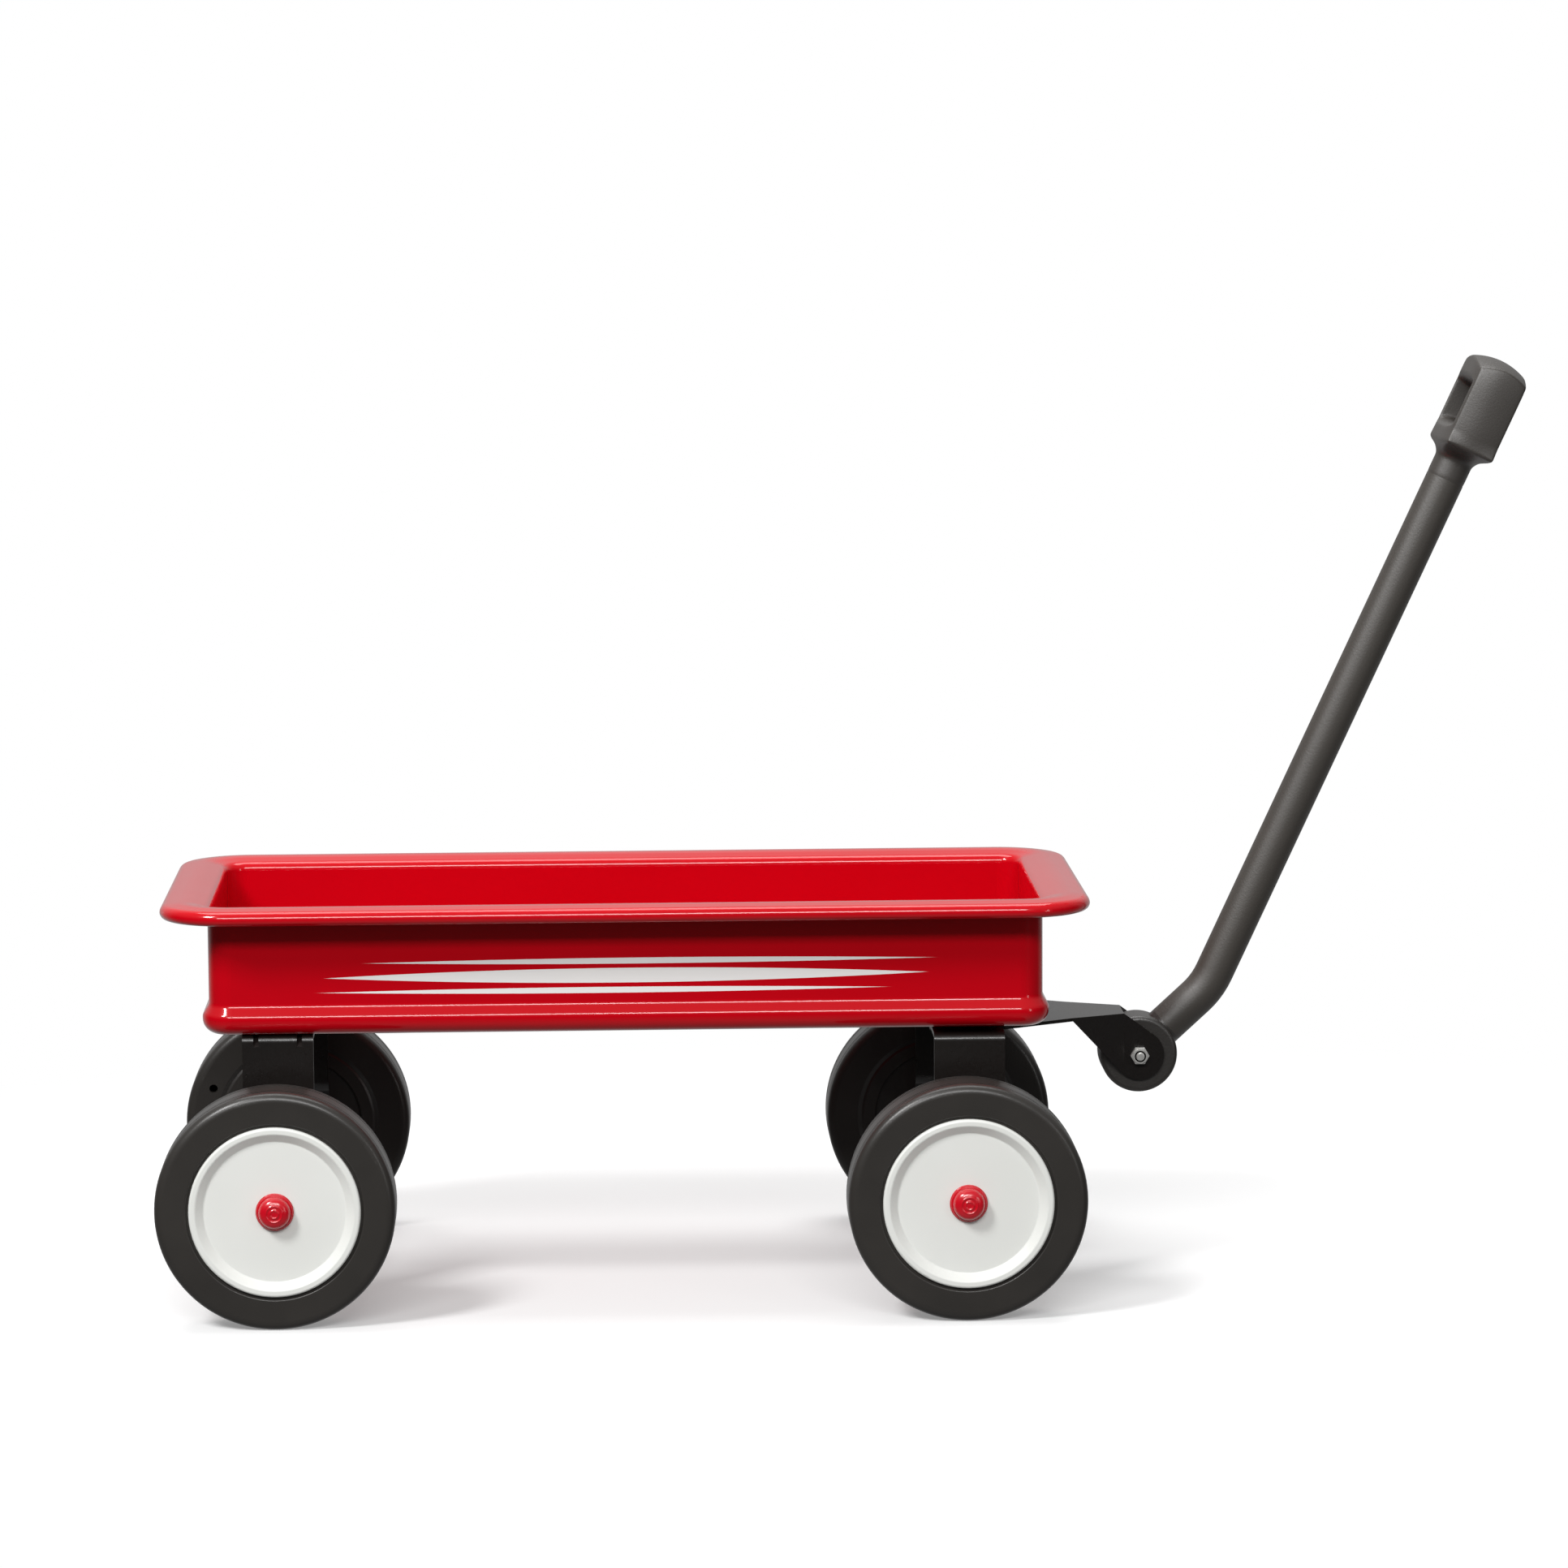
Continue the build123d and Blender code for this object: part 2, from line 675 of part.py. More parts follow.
def make_tyre(side, wheel_x, vent_angle):
    """Black moulded wheel: hub boss, web, raised ring, sidewalls and tread, hollow inside."""
    bore = axle_radius + running_clearance
    web_inner = tyre_inner_face + ring_raise
    sidewall_radius = wheel_radius - tread_shoulder
    points = [
        (hub_inner_face, bore),
        (hub_inner_face, hub_boss_radius),
        (web_inner, hub_boss_radius + 1.5),
        (web_inner, ring_inner),
        (tyre_inner_face + 0.3, ring_inner + 0.8),
        (tyre_inner_face + 0.3, ring_outer - 0.8),
        (tyre_inner_face + ring_raise / 2, ring_outer),
        (tyre_inner_face, ring_outer + 1.5),
        (tyre_inner_face, wheel_radius),
        (wheel_outer_face, wheel_radius),
        (wheel_outer_face, disc_radius + 1.2),
        (wheel_outer_face - bead_groove, disc_radius + 0.7),
        (wheel_outer_face - bead_groove, disc_radius),
        (disc_back, disc_radius),
        (disc_back, bore),
    ]
    radii = [0, 1, 1, 0, 0, 0, 0, 0, tread_shoulder, tread_shoulder, 0.5, 0, 0, 0, 0]
    with BuildPart() as tyre:
        revolve(wheel_profile(side, wheel_x, points, radii), axis=wheel_axis(wheel_x))
        cavity = [
            (tyre_inner_face + ring_raise + tyre_wall, hub_boss_radius + 2 * tyre_wall),
            (tyre_inner_face + ring_raise + tyre_wall, wheel_radius - tyre_wall),
            (wheel_outer_face - tyre_wall, wheel_radius - tyre_wall),
            (wheel_outer_face - tyre_wall, disc_radius + tyre_wall),
            (disc_back - tyre_wall, disc_radius + tyre_wall),
            (disc_back - tyre_wall, hub_boss_radius + 2 * tyre_wall),
        ]
        cavity_face = wheel_profile(side, wheel_x, cavity, [1, 2, 2, 0.5, 1, 1])
        revolve(cavity_face, axis=wheel_axis(wheel_x), mode=Mode.SUBTRACT)
        for step in (1.0, 3.0):
            for edge in (tyre_inner_face + tread_shoulder + step, wheel_outer_face - tread_shoulder - step):
                with BuildSketch(Plane.XZ.offset(-side * edge)):
                    with Locations((wheel_x, wheel_radius)):
                        Circle(wheel_radius + 1)
                        Circle(wheel_radius - tread_groove, mode=Mode.SUBTRACT)
                extrude(amount=tread_groove_width / 2, both=True, mode=Mode.SUBTRACT)
        with BuildSketch(Plane.XZ.offset(-side * tyre_inner_face)):
            with Locations(along((wheel_x, wheel_radius), vent_angle, vent_ring)):
                Circle(vent_radius)
        extrude(amount=-side * (ring_raise + 1.5 * tyre_wall), mode=Mode.SUBTRACT)
    return tyre.part


def make_disc(side, wheel_x):
    """White pressed disc with a rounded lip and a recessed flat centre."""
    points = [
        (disc_back, axle_radius + running_clearance),
        (disc_back, disc_radius),
        (disc_face, disc_radius),
        (disc_face, disc_radius - 2.2),
        (disc_front, disc_flat_radius),
        (disc_front, axle_radius + running_clearance),
    ]
    with BuildPart() as disc:
        disc_section = wheel_profile(side, wheel_x, points, [0, 0, 0.9, 0.9, 0.8, 0])
        revolve(disc_section, axis=wheel_axis(wheel_x))
    return disc.part


def make_axle(axle_x):
    """Steel rod between the two caps."""
    with BuildPart() as axle:
        with BuildSketch(Plane.XZ):
            with Locations((axle_x, wheel_radius)):
                Circle(axle_radius)
        extrude(amount=cap_face + cap_height - 2 * cap_flange, both=True)
    return axle.part


def make_caps(axle_x):
    """Push-on caps at both ends of an axle, domed with a pressed ring in the crown."""
    points = [
        (cap_face, 0),
        (cap_face, cap_radius),
        (cap_face + cap_flange, cap_radius),
        (cap_face + cap_flange, cap_dome_radius),
        (cap_face + cap_height, cap_dome_radius),
        (cap_face + cap_height, 0),
    ]
    with BuildPart() as caps:
        for side in (-1, 1):
            cap_section = wheel_profile(side, axle_x, points, [0, 0, 0.3, 0.4, 2.4, 0])
            revolve(cap_section, axis=wheel_axis(axle_x))
        with BuildSketch(Plane.XZ):
            with Locations((axle_x, wheel_radius)):
                Circle(axle_radius)
        extrude(amount=cap_face + cap_height - 2 * cap_flange, both=True, mode=Mode.SUBTRACT)
    return caps.part


def make_washers(axle_x):
    """Plain washers between the bracket legs and the wheel hubs."""
    with BuildPart() as washers:
        for side in (-1, 1):
            with BuildSketch(Plane.XZ.offset(side * leg_lower)):
                with Locations((axle_x, wheel_radius)):
                    Circle(axle_washer_radius)
                    Circle(axle_radius + hole_clearance, mode=Mode.SUBTRACT)
            extrude(amount=side * axle_washer_thick)
    return washers.part


pieces = {
    "wagon_body": wagon_body.part,
    "rear_axle_bracket": rear_axle_bracket,
    "rear_bracket_screws": rear_bracket_screws,
    "rear_bracket_nuts": rear_bracket_nuts.part,
    "bolster_plate": bolster_plate.part,
    "bolster_rivets": bolster_rivets,
    "bearing_washer": bearing_washer.part,
    "king_bolt": king_bolt.part,
    "king_washer": king_washer.part,
    "king_nut": king_nut,
    "front_axle_bracket": front_axle_bracket,
    "hitch_tongue": hitch_tongue.part,
    "tongue_rivets": tongue_rivets,
    "hitch_bolt": hitch_bolt.part,
    "hitch_nut": hitch_nut,
    "handle_hub": handle_hub.part,
    "handle_tube": handle_tube.part,
    "handle_grip": handle_grip.part,
}
for end, axle_x, vent_angle in (
    ("rear", rear_x, rear_vent_angle),
    ("front", front_axle_x, front_vent_angle),
):
    pieces[f"{end}_axle"] = make_axle(axle_x)
    pieces[f"{end}_axle_caps"] = make_caps(axle_x)
    pieces[f"{end}_axle_washers"] = make_washers(axle_x)
    for hand, side in (("left", 1), ("right", -1)):
        pieces[f"{end}_{hand}_tyre"] = make_tyre(side, axle_x, vent_angle)
        pieces[f"{end}_{hand}_disc"] = make_disc(side, axle_x)

os.makedirs("parts", exist_ok=True)
for name, piece in pieces.items():
    piece.label = name
    export_step(piece, f"parts/{name}.step")
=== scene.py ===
# %% [markdown]
# # A small steel pull wagon
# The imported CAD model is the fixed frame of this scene: every part is already in its place, in metres.
# The cells below give each part its finish and remake the grip and the axle caps, whose soft shapes need
# mesh work. The floor, the lights and the camera come last.

# %% Load the frame
import json
import math

import bpy
from mathutils import Matrix, Vector


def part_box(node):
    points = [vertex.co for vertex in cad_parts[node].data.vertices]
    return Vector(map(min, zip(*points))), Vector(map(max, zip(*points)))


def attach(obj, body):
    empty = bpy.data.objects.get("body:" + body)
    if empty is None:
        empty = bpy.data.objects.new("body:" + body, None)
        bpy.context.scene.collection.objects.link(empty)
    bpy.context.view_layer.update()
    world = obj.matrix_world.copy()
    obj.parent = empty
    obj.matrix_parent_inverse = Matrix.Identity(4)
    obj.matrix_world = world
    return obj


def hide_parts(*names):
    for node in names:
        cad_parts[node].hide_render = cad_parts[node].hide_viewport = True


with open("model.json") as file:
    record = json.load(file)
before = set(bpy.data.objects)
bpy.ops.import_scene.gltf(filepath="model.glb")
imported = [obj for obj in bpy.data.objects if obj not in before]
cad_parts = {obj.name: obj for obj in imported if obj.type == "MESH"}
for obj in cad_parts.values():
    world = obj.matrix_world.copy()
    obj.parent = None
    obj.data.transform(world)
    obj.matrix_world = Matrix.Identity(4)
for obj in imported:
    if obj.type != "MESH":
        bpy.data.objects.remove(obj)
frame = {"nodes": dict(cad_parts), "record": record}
bpy.context.scene.view_settings.view_transform = "Standard"
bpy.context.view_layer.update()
MM = 0.001


# %% [markdown]
# Positions come from the frame. The tray and the lock nut give the places that the finishes, the lamps and
# the camera are measured from.

# %% Places read from the frame
def centre(name):
    """Middle of a CAD node's box."""
    low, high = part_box(name)
    return (low + high) / 2


tray_low, tray_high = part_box("wagon_body")
tray_mid = centre("wagon_body")
nut_mid = centre("hitch_nut")
print("tray middle:", tuple(round(v, 4) for v in tray_mid))
print("lock nut middle:", tuple(round(v, 4) for v in nut_mid))


# %% [markdown]
# ## Shader maths as plain expressions
# A material is a small network of nodes. Writing it as Python expressions keeps it readable: the class
# below wraps one output socket, and each operator adds the Math node that does the same sum.

# %% The socket class
class Sock:
    """A shader value that can be added, multiplied and compared like a number."""

    def __init__(self, tree, socket):
        self.tree = tree
        self.socket = socket

    def math(self, operation, other=None, third=None):
        values = [v for v in (self, other, third) if v is not None]
        return node(self.tree, "ShaderNodeMath", {"operation": operation}, dict(enumerate(values)))

    def __add__(self, other):
        return self.math("ADD", other)

    def __radd__(self, other):
        return self.math("ADD", other)

    def __sub__(self, other):
        return self.math("SUBTRACT", other)

    def __rsub__(self, other):
        return node(self.tree, "ShaderNodeMath", {"operation": "SUBTRACT"}, {0: other, 1: self})

    def __mul__(self, other):
        return self.math("MULTIPLY", other)

    def __rmul__(self, other):
        return self.math("MULTIPLY", other)

    def __truediv__(self, other):
        return self.math("DIVIDE", other)

    def __gt__(self, other):
        return self.math("GREATER_THAN", other)

    def __lt__(self, other):
        return self.math("LESS_THAN", other)

    def clamp(self, low, high):
        """This value held between two limits, stretched to run from 0 to 1."""
        return node(
            self.tree,
            "ShaderNodeMapRange",
            {"interpolation_type": "SMOOTHSTEP"},
            {"Value": self, "From Min": low, "From Max": high, "To Min": 0.0, "To Max": 1.0},
        )


def node(tree, kind, settings, inputs, output=0):
    """Adds one node, applies its settings, then fills its sockets with values or links."""
    made = tree.nodes.new(kind)
    for name, value in settings.items():
        setattr(made, name, value)
    for key, value in inputs.items():
        if isinstance(value, Sock):
            tree.links.new(value.socket, made.inputs[key])
        else:
            made.inputs[key].default_value = value
    return Sock(tree, made.outputs[output])


def linear(red, green, blue):
    """A screen colour from 0 to 255 as the linear colour a shader takes."""
    def one(level):
        share = level / 255
        return share / 12.92 if share <= 0.04045 else ((share + 0.055) / 1.055) ** 2.4

    return (one(red), one(green), one(blue), 1.0)


def mix(tree, factor, first, second):
    """Blends two colours by a mask."""
    return node(
        tree,
        "ShaderNodeMix",
        {"data_type": "RGBA"},
        {0: factor, 6: first, 7: second},
        output=2,
    )


def start_material(name):
    """A new material with its shader, and its Object coordinates as one vector socket."""
    material = bpy.data.materials.new(name)
    material.use_nodes = True
    tree = material.node_tree
    shader = tree.nodes["Principled BSDF"]
    place = node(tree, "ShaderNodeTexCoord", {}, {}, output=3)
    return material, tree, shader, place


def split(tree, place):
    """The x, y and z of a position."""
    parts = tree.nodes.new("ShaderNodeSeparateXYZ")
    tree.links.new(place.socket, parts.inputs[0])
    return [Sock(tree, parts.outputs[axis]) for axis in range(3)]


def noise(tree, place, scale, detail=3.0, rough=0.5):
    """Soft random value from 0 to 1, at a number of features per metre."""
    return node(
        tree,
        "ShaderNodeTexNoise",
        {},
        {"Vector": place, "Scale": scale, "Detail": detail, "Roughness": rough},
    )


def bump(tree, shader, height, distance, strength=1.0):
    """Sends a height to the shader's normal."""
    raised = node(
        tree,
        "ShaderNodeBump",
        {},
        {"Height": height, "Distance": distance, "Strength": strength},
    )
    tree.links.new(raised.socket, shader.inputs["Normal"])


def feed(tree, shader, name, value):
    """Links a changing value to a shader socket."""
    tree.links.new(value.socket, shader.inputs[name])


print("shader helpers ready")


# %% [markdown]
# ## Red enamel
# The tray is dipped in a thick gloss enamel: a saturated red under a clear, smooth surface. A clear coat over
# a slightly rougher base gives the sharp highlights, and a very faint, wide ripple ("orange peel") stops the
# reflections from looking like glass. Three plain white stripes, pointed at both ends, decorate each long
# side. A mask keeps them on the outside of the two long walls.

# %% Red enamel with pinstripes
RIM_OVERHANG = 16.2 * MM
WALL_BAND = 0.4 * MM
STRIPE_HEIGHT = 19.5 * MM
STRIPE_GAP = 5.0 * MM
STRIPE_SHIFT = 8 * MM
BOLD_STRIPE = (104 * MM, 2.6 * MM)
THIN_STRIPE = (100 * MM, 1.1 * MM)
STRIPE_EDGE = 0.15 * MM


def taper_stripe(x, z, middle_x, middle_z, half_length, half_height):
    """A level stripe that narrows to a point at both ends, from 0 to 1."""
    along = (x - middle_x) / half_length
    width = (1.0 - along * along) * half_height
    away = (z - middle_z).math("ABSOLUTE")
    return (width - away).clamp(0.0, STRIPE_EDGE)


def make_red_enamel():
    material, tree, shader, place = start_material("red_enamel")
    x, y, z = split(tree, place)
    patchy = noise(tree, place, 9.0)
    red = mix(tree, patchy, linear(186, 0, 15), linear(198, 1, 21))
    on_wall = (y.math("ABSOLUTE") - (tray_high.y - RIM_OVERHANG)).math("ABSOLUTE") < WALL_BAND
    stripe_z = tray_low.z + STRIPE_HEIGHT
    upper = taper_stripe(x, z, tray_mid.x + STRIPE_SHIFT, stripe_z + STRIPE_GAP, *THIN_STRIPE)
    lower = taper_stripe(x, z, tray_mid.x - STRIPE_SHIFT, stripe_z - STRIPE_GAP, *THIN_STRIPE)
    bold = taper_stripe(x, z, tray_mid.x, stripe_z, *BOLD_STRIPE)
    stripes = (upper + lower + bold).clamp(0.0, 1.0) * on_wall
    feed(tree, shader, "Base Color", mix(tree, stripes, red, linear(240, 238, 236)))
    feed(tree, shader, "Roughness", noise(tree, place, 60.0) * 0.06 + 0.2)
    shader.inputs["Coat Weight"].default_value = 0.8
    shader.inputs["Coat Roughness"].default_value = 0.06
    shader.inputs["Specular IOR Level"].default_value = 0.1
    bump(tree, shader, noise(tree, place, 160.0, 1.0), 0.00002)
    return material


# %% [markdown]
# ## Dark powder coat
# The handle tube and the folded steel are powder coated in a warm, nearly black brown, the folded steel the
# darker and smoother of the two. Powder melts into a satin skin, so the finish is a mid roughness with a very
# low grain, a little over half a millimetre across. The moulded grip and hub take the same grain.

# %% Dark powder coat and the moulded handle plastic
def make_dark_satin(name, colour, roughness, grain_scale, grain_height, shine=1.0):
    """A dark, finely grained skin; grain_scale is grains per metre and shine the specular level."""
    material, tree, shader, place = start_material(name)
    cloud = noise(tree, place, 25.0)
    darker = tuple(c * 0.82 for c in colour[:3]) + (1.0,)
    feed(tree, shader, "Base Color", mix(tree, cloud, darker, colour))
    speckle = noise(tree, place, grain_scale, 2.0, 0.6)
    feed(tree, shader, "Roughness", speckle * 0.12 + (roughness - 0.06))
    shader.inputs["Specular IOR Level"].default_value = shine
    bump(tree, shader, speckle, grain_height)
    return material


# %% [markdown]
# ## Bright zinc
# Nuts, bolts, washers and axles are plated. Plating is a clean metal with faint cloudy patches in its
# roughness. The lock nut at the hitch shows the black locking ring round the bolt's end.

# %% Bright zinc
NUT_RING_RADIUS = 1.75 * MM
NUT_RING_WIDTH = 0.5 * MM


def make_zinc(name, ring_middle=None):
    """Plated steel, with a black ring round an axle line across the wagon where one is given."""
    material, tree, shader, place = start_material(name)
    cloud = noise(tree, place, 300.0)
    colour = mix(tree, cloud, linear(196, 196, 192), linear(232, 232, 228))
    if ring_middle:
        x, y, z = split(tree, place)
        x, z = x - ring_middle.x, z - ring_middle.z
        off = ((x * x + z * z).math("SQRT") - NUT_RING_RADIUS).math("ABSOLUTE")
        colour = mix(tree, off < NUT_RING_WIDTH / 2, colour, linear(16, 15, 14))
    feed(tree, shader, "Base Color", colour)
    feed(tree, shader, "Roughness", cloud * 0.15 + 0.24)
    shader.inputs["Metallic"].default_value = 0.5
    bump(tree, shader, noise(tree, place, 900.0), 0.00001)
    return material


# %% [markdown]
# ## Wheels
# The wheels are blow moulded in black with a satin skin whose gloss drifts slowly from place to place. The
# discs are a soft white, and the caps are a glossy red.

# %% Wheel finishes
def make_tyre_black():
    material, tree, shader, place = start_material("tyre_black")
    cloud = noise(tree, place, 40.0)
    feed(tree, shader, "Base Color", mix(tree, cloud, linear(44, 42, 40), linear(54, 51, 48)))
    feed(tree, shader, "Roughness", cloud * 0.1 + 0.28)
    bump(tree, shader, noise(tree, place, 1500.0, 2.0), 0.00002)
    return material


def make_disc_white():
    material, tree, shader, place = start_material("disc_white")
    cloud = noise(tree, place, 30.0)
    feed(tree, shader, "Base Color", mix(tree, cloud, linear(228, 229, 224), linear(236, 237, 233)))
    feed(tree, shader, "Roughness", cloud * 0.1 + 0.34)
    bump(tree, shader, noise(tree, place, 1200.0), 0.00001)
    return material


def make_cap_red():
    material, tree, shader, place = start_material("cap_red")
    cloud = noise(tree, place, 200.0)
    feed(tree, shader, "Base Color", mix(tree, cloud, linear(192, 6, 26), linear(204, 12, 34)))
    feed(tree, shader, "Roughness", cloud * 0.08 + 0.2)
    shader.inputs["Coat Weight"].default_value = 0.5
    bump(tree, shader, noise(tree, place, 800.0), 0.00001)
    return material


# %% [markdown]
# Each part takes the finish of its material slot. The folded sheet parts, the hub and the lock nut have a
# variant of their own.

# %% Finishes on the CAD parts
finishes = {
    "red_enamel": make_red_enamel(),
    "dark_powder_coat": make_dark_satin("dark_powder_coat", linear(58, 53, 47), 0.5, 1500.0, 0.00005),
    "handle_plastic": make_dark_satin("handle_plastic", linear(54, 49, 44), 0.5, 1500.0, 0.00005),
    "zinc_steel": make_zinc("bright_zinc"),
    "red_cap_paint": make_cap_red(),
    "tyre_black": make_tyre_black(),
    "disc_white": make_disc_white(),
}
own_finish = {"handle_hub": make_dark_satin("hub_plastic", linear(40, 36, 32), 0.42, 1500.0, 0.00005)}
dark_steel = make_dark_satin("dark_steel", linear(22, 18, 16), 0.3, 1200.0, 0.00003, 0.6)
for name in ("front_axle_bracket", "rear_axle_bracket", "bolster_plate", "hitch_tongue"):
    own_finish[name] = dark_steel
own_finish["hitch_nut"] = make_zinc("lock_nut", nut_mid)
slot_of = {row["node"]: row["material_slot"] for row in frame["record"]["subparts"]}
for name, part in frame["nodes"].items():
    part.data.materials.clear()
    part.data.materials.append(own_finish.get(name, finishes[slot_of[name]]))
print("finished", len(frame["nodes"]), "CAD parts")


# %% [markdown]
# Folded and sheared sheet never has a perfectly sharp edge. A narrow bevel on the two axle brackets and the
# hitch tongue rounds each edge just enough to catch a thin line of light.

# %% Rounded edges on the sheet parts
EDGE_WIDTHS = {
    "front_axle_bracket": 0.28 * MM,
    "rear_axle_bracket": 0.28 * MM,
    "hitch_tongue": 0.5 * MM,
}
for name, width in EDGE_WIDTHS.items():
    edge = frame["nodes"][name].modifiers.new("edge", "BEVEL")
    edge.width = width
    edge.segments = 3
    edge.limit_method = "ANGLE"
    edge.angle_limit = math.radians(50)
    edge.harden_normals = True
print("edges bevelled")


# %% [markdown]
# ## Turned pieces
# A cap is pressed from a round blank, so every section through its axle line is the same. Such a shape is
# drawn once as a half outline and spun about the axle. The spin leaves a seam and a pole of doubled
# points, so doubles are merged and the normals are recalculated.

# %% Spinning an outline about an axle
def deselect():
    """Leaves nothing selected, so an operator acts only on what comes next."""
    bpy.ops.object.select_all(action="DESELECT")


def new_piece(name, points, edges):
    """A mesh object made active and the only one selected."""
    deselect()
    mesh = bpy.data.meshes.new(name)
    mesh.from_pydata(points, edges, [])
    piece = bpy.data.objects.new(name, mesh)
    bpy.context.scene.collection.objects.link(piece)
    piece.select_set(True)
    bpy.context.view_layer.objects.active = piece
    return piece


def spin_outline(name, outline, middle, steps):
    """Spins (distance out along Y, radius) points about the axle line through middle."""
    points = [(middle.x, middle.y + out, middle.z + radius) for out, radius in outline]
    edges = [(i, i + 1) for i in range(len(points) - 1)]
    piece = new_piece(name, points, edges)
    bpy.ops.object.mode_set(mode="EDIT")
    bpy.ops.mesh.select_all(action="SELECT")
    bpy.ops.mesh.spin(steps=steps, angle=2 * math.pi, center=middle, axis=(0, 1, 0))
    bpy.ops.mesh.select_all(action="SELECT")
    bpy.ops.mesh.remove_doubles(threshold=1e-6)
    bpy.ops.mesh.normals_make_consistent(inside=False)
    bpy.ops.object.mode_set(mode="OBJECT")
    bpy.ops.object.shade_smooth_by_angle(angle=math.radians(40))
    return piece


def arc(middle_out, middle_radius, radius, first, last, count):
    """Points on an arc, from one angle to another in degrees; 0 points out along the axle."""
    made = []
    for i in range(count + 1):
        angle = math.radians(first + (last - first) * i / count)
        made.append((middle_out + radius * math.cos(angle), middle_radius + radius * math.sin(angle)))
    return made


# %% [markdown]
# ## Axle caps
# Each cap is a push-on dome with a thin flange. Its crown carries two raised rings round a small dimple,
# left by the press.

# %% Axle caps
CAP_DEPTH = 5.0 * MM
CAP_FLANGE = 0.9 * MM
CAP_RADIUS = 6.4 * MM
FLANGE_BACK_CHAMFER = 0.2 * MM
FLANGE_EDGE = 0.25 * MM
FLANGE_SLOPE = 0.5 * MM
DOME_RADIUS = 5.4 * MM
DOME_FOOT = 0.15 * MM
DOME_EDGE = 2.6 * MM
EDGE_DROP = 0.5 * MM
CROWN_DROP = 0.35 * MM
CROWN_SLOPE = 0.06
CROWN_STEPS = 26
CAP_SPIN_STEPS = 64
RING_HEIGHT = 0.28 * MM
RING_SPREAD = 0.32 * MM
RING_RADII = (1.35 * MM, 2.75 * MM)


def crown(top, radius):
    """Height of the crown at a distance from the axle: a shallow dome with two rings."""
    rings = sum(RING_HEIGHT * math.exp(-(((radius - place) / RING_SPREAD) ** 2)) for place in RING_RADII)
    return top - CROWN_DROP - CROWN_SLOPE * radius + rings


def cap_outline(side, low, high):
    """Outline of a cap between its inner face and its top, pointing out on one side."""
    depth = high - low
    points = [(0.0, 0.0), (0.0, CAP_RADIUS - FLANGE_BACK_CHAMFER)]
    points += arc(FLANGE_EDGE, CAP_RADIUS - FLANGE_EDGE, FLANGE_EDGE, 90, 0, 4)
    points += [(CAP_FLANGE, CAP_RADIUS - FLANGE_SLOPE), (CAP_FLANGE + DOME_FOOT, DOME_RADIUS)]
    edge_out = depth - EDGE_DROP - DOME_EDGE
    points += arc(edge_out, DOME_RADIUS - DOME_EDGE, DOME_EDGE, 90, 18, 10)
    inner = points[-1][1]
    for i in range(1, CROWN_STEPS + 1):
        radius = inner * (1 - i / CROWN_STEPS)
        points.append((crown(depth, radius), radius))
    return [(side * out, radius) for out, radius in points]


for end, body in (("rear", "wagon"), ("front", "front_truck")):
    low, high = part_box(f"{end}_axle_caps")
    axle_mid = (low + high) / 2
    inner_face = high.y - CAP_DEPTH
    for hand, side in (("left", 1), ("right", -1)):
        seat = Vector((axle_mid.x, side * inner_face, axle_mid.z))
        outline = cap_outline(side, inner_face, high.y)
        cap = spin_outline(f"{end}_{hand}_cap", outline, seat, CAP_SPIN_STEPS)
        cap.data.materials.append(finishes["red_cap_paint"])
        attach(cap, body)
        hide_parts(f"{end}_axle_caps")
print("caps spun")


# %% [markdown]
# ## The grip
# The grip is one soft moulding: a round neck that swells through hollow shoulders into a broad block with
# a finger slot through it and a domed top. It starts as one finely cut block, whose points are drawn in to
# the neck and out to the dome. The slot is cut with a block that flares at both mouths, and a voxel remesh
# with a little smoothing rounds every edge at once. It is modelled upright and then laid along the top of
# the tube. Across runs over the wagon, depth through the slot, and height along the tube. Below height 0 the
# neck sits a little inside the tube's skin, and above it stands a hair proud.

# %% The grip's sizes and its place on the tube
UPPER_ANGLE = math.radians(65.1)
GRIP_WIDTH = 41.0 * MM
GRIP_THICK = 19.0 * MM
NECK_START = -2.0 * MM
NECK_END = 7.0 * MM
NECK_PROUD = 0.03 * MM
PLUG_SHY = 0.15 * MM
SHOULDER = 12.0 * MM
SIDE_TOP = 40.0 * MM
CROWN_ACROSS = 3.2 * MM
CROWN_DEPTH = 2.2 * MM
FACE_BULGE = 1.6 * MM
BACK_BULGE = 1.5 * MM
SLOT_START = 19.6 * MM
SLOT_LENGTH = 14.2 * MM
SLOT_FLARE = 2.8 * MM
SLOT_CORNER = 1.2 * MM
SIDE_THICK = 3.9 * MM
GRIP_CUTS = 63
SLOT_CUTS = 24
VOXEL = 0.38 * MM
tube_low, tube_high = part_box("handle_tube")
tube_radius = (tube_high.y - tube_low.y) / 2
grip_foot = Vector(
    (
        tube_high.x - tube_radius * math.sin(UPPER_ANGLE),
        0,
        tube_high.z - tube_radius * math.cos(UPPER_ANGLE),
    )
)
grip_axis = Vector((math.cos(UPPER_ANGLE), 0, math.sin(UPPER_ANGLE)))
grip_across = Vector((0, 1, 0))
grip_turn = Matrix((grip_across, grip_axis.cross(grip_across), grip_axis)).transposed().to_4x4()
print("grip foot:", tuple(round(v, 4) for v in grip_foot))


